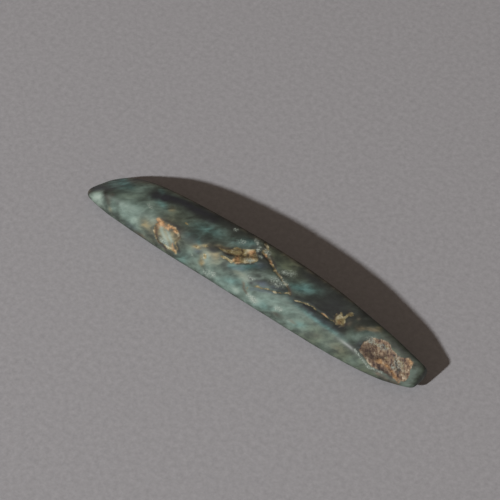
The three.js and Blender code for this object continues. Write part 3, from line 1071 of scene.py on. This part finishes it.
    def patterns(self, tree: Tree) -> Patterns:
        """Makes the shared noises: clouds with wisps and fibres mixed in, blots, crust and grain.

        Args:
            tree: the material's tree.

        Returns:
            The noises.
        """
        way = self.fibre_way
        clouds = self.texture(tree, way, self.cloud_stretch, self.cloud_mm, 0.6)
        fibres = self.texture(tree, way, self.fibre_stretch, self.fibre_mm, 0.5)
        wisps = self.texture(tree, way, self.wisp_stretch, self.wisp_mm, 0.3)
        blots = self.texture(tree, way, self.blot_stretch, self.blot_mm, 0.3)
        rind = self.texture(tree, self.rind_way, self.rind_stretch, self.rind_mm, 0.5)
        grain = self.texture(tree, way, 1, self.grain_mm, 0)
        crust = add_node(
            tree, "ShaderNodeMix", {0: self.blot_share, 2: rind, 3: blots}, data_type="FLOAT"
        ).outputs[0]
        soft = add_node(
            tree, "ShaderNodeMix", {0: self.wisp_share, 2: clouds, 3: wisps}, data_type="FLOAT"
        ).outputs[0]
        drift = add_node(
            tree, "ShaderNodeMix", {0: self.fibre_share, 2: soft, 3: fibres}, data_type="FLOAT"
        ).outputs[0]
        return Patterns(drift, wisps, blots, crust, grain)

    def clouded(
        self, tree: Tree, finish: ToneFinish, mask: Socket,
        noise: Patterns,
    ) -> tuple[Socket, Socket]:
        """Clouds a tone into the stone: its mask times one, more or less a share of the drift.

        Args:
            tree: the material's tree.
            finish: the tone's finish.
            mask: the tone's mask.
            noise: the shared noises.

        Returns:
            How much of the tone shows, and its colour.
        """
        low, high = self.swing_span
        swing = add_node(tree, "ShaderNodeMapRange", {
            "Value": noise.drift, "From Min": low, "From Max": high,
            "To Min": 1 - finish.ragged, "To Max": 1 + finish.ragged,
        }).outputs[0]
        share = add_node(
            tree, "ShaderNodeMath", {0: mask, 1: swing}, operation="MULTIPLY", use_clamp=True
        ).outputs[0]
        return share, self.spread(tree, noise.wisps, finish.shades)

    def crisp(
        self, tree: Tree, finish: ToneFinish, mask: Socket,
        noise: Patterns,
    ) -> tuple[Socket, Socket]:
        """Lays a tone on in patches: where its mask, made ragged by noise, passes the cut.

        Args:
            tree: the material's tree.
            finish: the tone's finish.
            mask: the tone's mask.
            noise: the shared noises.

        Returns:
            How much of the tone shows, and its colour.
        """
        own = {Tone.CORTEX: noise.crust, Tone.WHITE: noise.grain}.get(finish.tone, noise.blots)
        shift = add_node(tree, "ShaderNodeMath", {0: own, 1: 0.5}, operation="SUBTRACT")
        rim = add_node(tree, "ShaderNodeMath", {
            0: shift.outputs[0], 1: self.ragged_gain * finish.ragged, 2: mask,
        }, operation="MULTIPLY_ADD").outputs[0]
        passed = add_node(tree, "ShaderNodeMapRange", {
            "Value": rim, "From Min": self.cut - finish.edge, "From Max": self.cut + finish.edge,
        }, interpolation_type="SMOOTHSTEP").outputs[0]
        low, high = self.present_span
        present = add_node(tree, "ShaderNodeMapRange", {
            "Value": mask, "From Min": low, "From Max": high,
        }, interpolation_type="SMOOTHSTEP").outputs[0]
        share = add_node(
            tree, "ShaderNodeMath", {0: passed, 1: present}, operation="MULTIPLY"
        ).outputs[0]
        fleck = add_node(
            tree, "ShaderNodeMix", {0: self.fleck_share, 2: own, 3: noise.grain}, data_type="FLOAT"
        ).outputs[0]
        return share, self.spread(tree, fleck, finish.shades)

    def gloss(
        self, tree: Tree, cover: dict[Tone, Socket]
    ) -> Socket:
        """The roughness: polished or dull by the attribute, and rough where weathered.

        Args:
            tree: the material's tree.
            cover: how much of each tone shows.

        Returns:
            The roughness.
        """
        weathered = add_node(
            tree, "ShaderNodeMath", {0: cover[Tone.CREAM], 1: cover[Tone.CORTEX]},
            operation="MAXIMUM",
        ).outputs[0]
        worn = add_node(tree, "ShaderNodeAttribute", attribute_name=DULL).outputs["Fac"]
        skin = add_node(tree, "ShaderNodeMapRange", {
            "Value": worn, "To Min": self.polish, "To Max": self.dull,
        }).outputs[0]
        return add_node(
            tree, "ShaderNodeMix", {0: weathered, 2: skin, 3: self.rough}, data_type="FLOAT"
        ).outputs[0]

    def build(self) -> bpy.types.Material:
        """Builds the node material: the ground's shades, with each tone laid over in turn.

        Returns:
            The material.
        """
        material = bpy.data.materials.new(self.name)
        material.use_nodes = True
        tree = material.node_tree
        tree.nodes.clear()
        noise = self.patterns(tree)
        (low, high), (least, most) = self.drift_span, self.ground_span
        wide = add_node(tree, "ShaderNodeMapRange", {
            "Value": noise.drift, "From Min": low, "From Max": high, "To Min": least, "To Max": most,
        }, clamp=False).outputs[0]
        colour = self.spread(tree, wide, self.ground)
        cover = {}
        for finish in self.tones:
            mask = add_node(
                tree, "ShaderNodeAttribute", attribute_name=finish.tone.value
            ).outputs["Fac"]
            lay = self.clouded if finish.lay is Lay.CLOUDED else self.crisp
            share, own = lay(tree, finish, mask, noise)
            colour = add_node(
                tree, "ShaderNodeMix", {0: share, 6: colour, 7: own}, data_type="RGBA"
            ).outputs[2]
            cover[finish.tone] = share
        bump = add_node(tree, "ShaderNodeBump", {
            "Height": noise.grain, "Strength": self.bump_strength, "Distance": self.bump_mm * MM,
        })
        shader = add_node(tree, "ShaderNodeBsdfPrincipled", {
            "Base Color": colour, "Roughness": self.gloss(tree, cover), "IOR": self.ior,
            "Normal": bump.outputs[0],
        })
        add_node(tree, "ShaderNodeOutputMaterial", {"Surface": shader.outputs[0]})
        return material


@dataclass(frozen=True)
class MattePaper:
    """Matte studio paper: pale grey, with no gloss and a faintly cloudy surface."""

    name: str = "matte_studio_paper"
    shades: tuple[str, str] = ("#8a898c", "#c0bfc3")
    mottle_mm: float = 1.6  # paper's own fibres are finer, and are drawn this wide so that they show
    roughness: float = 0.95

    def build(self) -> bpy.types.Material:
        """Builds the node material and returns it."""
        material = bpy.data.materials.new(self.name)
        material.use_nodes = True
        tree = material.node_tree
        tree.nodes.clear()
        place = add_node(tree, "ShaderNodeTexCoord").outputs["Object"]
        mottle = add_node(tree, "ShaderNodeTexNoise", {
            "Vector": place, "Scale": 1 / (self.mottle_mm * MM), "Detail": 6, "Roughness": 0.75,
        }).outputs["Fac"]
        colour = add_node(tree, "ShaderNodeMix", {
            0: mottle, 6: linear(self.shades[0]), 7: linear(self.shades[1]),
        }, data_type="RGBA").outputs[2]
        shader = add_node(tree, "ShaderNodeBsdfPrincipled", {
            "Base Color": colour, "Roughness": self.roughness,
        })
        add_node(tree, "ShaderNodeOutputMaterial", {"Surface": shader.outputs[0]})
        return material


def mesh_object(name: str, points: Floats, faces: list[list[int]]) -> bpy.types.Object:
    """Makes a smooth-shaded mesh object at the origin.

    Args:
        name: the object's name.
        points: its vertices in metres.
        faces: its faces as lists of vertex numbers, turned outwards.

    Returns:
        The object, linked to the scene.
    """
    mesh = bpy.data.meshes.new(name)
    mesh.from_pydata(points.tolist(), [], faces)
    mesh.shade_smooth()
    mesh.update()
    made = bpy.data.objects.new(name, mesh)
    bpy.context.scene.collection.objects.link(made)
    return made


@dataclass
class Chisel:
    """The stone itself: the ground form, its marks and its fine relief, as one closed mesh."""

    form: StoneForm = field(default_factory=StoneForm)
    marks: StoneMarks = field(default_factory=StoneMarks)
    relief: StoneRelief = field(default_factory=StoneRelief)
    finish: PolishedNephrite = PolishedNephrite()
    name: str = "polished_stone"

    def faces(self, rings: int) -> list[list[int]]:
        """Quads between the rings and a fan of triangles at each end, all facing out.

        Args:
            rings: how many rings there are.

        Returns:
            The faces, where point 0 closes the blade and the last one the butt.
        """
        rays = self.form.rays
        ring, ray = np.meshgrid(np.arange(rings - 1), np.arange(rays), indexing="ij")
        beside = (ray + 1) % rays
        corners = (ring * rays + ray, ring * rays + beside,
                   (ring + 1) * rays + beside, (ring + 1) * rays + ray)
        quads = 1 + np.stack([c.ravel() for c in corners], -1)
        first = np.arange(rays)
        second = (first + 1) % rays
        last = 1 + rings * rays
        blade = np.stack((np.zeros(rays, int), 1 + second, 1 + first), -1)
        tail = last - rays
        butt = np.stack((tail + first, tail + second, np.full(rays, last)), -1)
        return quads.tolist() + blade.tolist() + butt.tolist()

    def carry(self, stone: bpy.types.Object, name: str, grid: Floats) -> None:
        """Stores a value at each point of the stone, with its ring's mean at either end.

        Args:
            stone: the stone's object.
            name: the attribute's name.
            grid: the value at each point of the chart.
        """
        values = np.r_[grid[0].mean(), grid.ravel(), grid[-1].mean()]
        layer = stone.data.attributes.new(name, "FLOAT", "POINT")
        layer.data.foreach_set("value", values.astype(np.float32))

    def build(self) -> bpy.types.Object:
        """Builds the mesh in the CAD solid's place, with a mask attribute for each tone.

        Returns:
            The stone's object.
        """
        chart = self.form.skin()
        masks = self.marks.masks(chart)
        depth = self.form.hollow_depth(chart.points) + self.relief.depth(chart, masks)
        points = chart.points + depth[..., None] * chart.inward
        low, high = chart.points.min((0, 1)), chart.points.max((0, 1))
        points[..., 2] = np.maximum(points[..., 2], 0)
        ends = [ring.mean(0, keepdims=True) for ring in (points[0], points[-1])]
        joined = np.concatenate((ends[0], points.reshape(-1, 3), ends[1]))
        cad_low, cad_high = (np.array(corner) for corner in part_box(NODE))
        shift = (cad_low + cad_high) / 2 - MM * (low + high) / 2
        shift[2] = cad_low[2]
        stone = mesh_object(self.name, joined * MM + shift, self.faces(len(points)))
        for tone, mask in masks.items():
            self.carry(stone, tone.value, mask)
        self.carry(stone, DULL, self.marks.dullness(chart))
        stone.data.materials.append(self.finish.build())
        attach(stone, "root")
        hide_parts(NODE)
        return stone


@dataclass
class Studio:
    """The plain floor, one soft lamp, the room's weak light and the camera."""

    floor_size: float = 4.0
    aim: Point3 = (-6.17, 6.49, 5.0)
    azimuth: float = 37.7
    elevation: float = 50.0
    distance: float = 650.0
    frame_width: float = 145.9
    sensor: float = 36.0
    lamp_turn: float = 9.8
    lamp_elevation: float = 33.0
    lamp_distance: float = 3.0
    lamp_size: float = 0.15
    lamp_power: float = 84.0
    room_light: float = 0.15
    room_colour: str = "#ffe9d6"
    paper: MattePaper = MattePaper()

    def floor(self) -> bpy.types.Object:
        """Makes the floor: one square at the height that the stone rests on."""
        half = self.floor_size / 2
        corners = np.array([(-half, -half, 0), (half, -half, 0), (half, half, 0), (-half, half, 0)])
        made = mesh_object("floor", corners, [[0, 1, 2, 3]])
        made.data.materials.append(self.paper.build())
        return made

    def lamp(self) -> bpy.types.Object:
        """Makes the lamp, a disc that looks at the stone from the near left."""
        turn, rise = np.radians((self.lamp_turn, self.lamp_elevation))
        back = Vector((-np.sin(turn) * np.cos(rise), -np.cos(turn) * np.cos(rise), np.sin(rise)))
        light = bpy.data.lights.new("lamp", "AREA")
        light.shape = "DISK"
        light.size = self.lamp_size
        light.energy = self.lamp_power
        made = bpy.data.objects.new("lamp", light)
        made.location = back * self.lamp_distance
        made.rotation_euler = (-back).to_track_quat("-Z", "Y").to_euler()
        bpy.context.scene.collection.objects.link(made)
        return made

    def room(self) -> None:
        """Gives the room its weak, even light."""
        world = bpy.data.worlds.new("room")
        world.use_nodes = True
        sky = world.node_tree.nodes["Background"]
        sky.inputs["Color"].default_value = linear(self.room_colour)
        sky.inputs["Strength"].default_value = self.room_light
        bpy.context.scene.world = world

    def camera(self) -> bpy.types.Object:
        """Makes the camera, whose lens frames the given width at its aim."""
        turn, rise = np.radians((self.azimuth, self.elevation))
        back = Vector((np.sin(turn) * np.cos(rise), -np.cos(turn) * np.cos(rise), np.sin(rise)))
        seen = bpy.data.cameras.new("camera")
        seen.sensor_width = self.sensor
        seen.lens = self.sensor * self.distance / self.frame_width
        made = bpy.data.objects.new("camera", seen)
        made.location = (Vector(self.aim) + back * self.distance) * MM
        made.rotation_euler = (-back).to_track_quat("-Z", "Y").to_euler()
        bpy.context.scene.collection.objects.link(made)
        bpy.context.scene.camera = made
        return made

    def build(self) -> None:
        """Sets up the whole studio."""
        self.floor()
        self.lamp()
        self.room()
        self.camera()
        bpy.context.scene.view_settings.view_transform = "Standard"


def main() -> None:
    """Builds the chisel and the studio."""
    logging.basicConfig(level=logging.INFO, format="%(name)s: %(message)s")
    stone = Chisel().build()
    log.info("%s: %d faces", stone.name, len(stone.data.polygons))
    Studio().build()


if __name__ == "__main__":
    main()
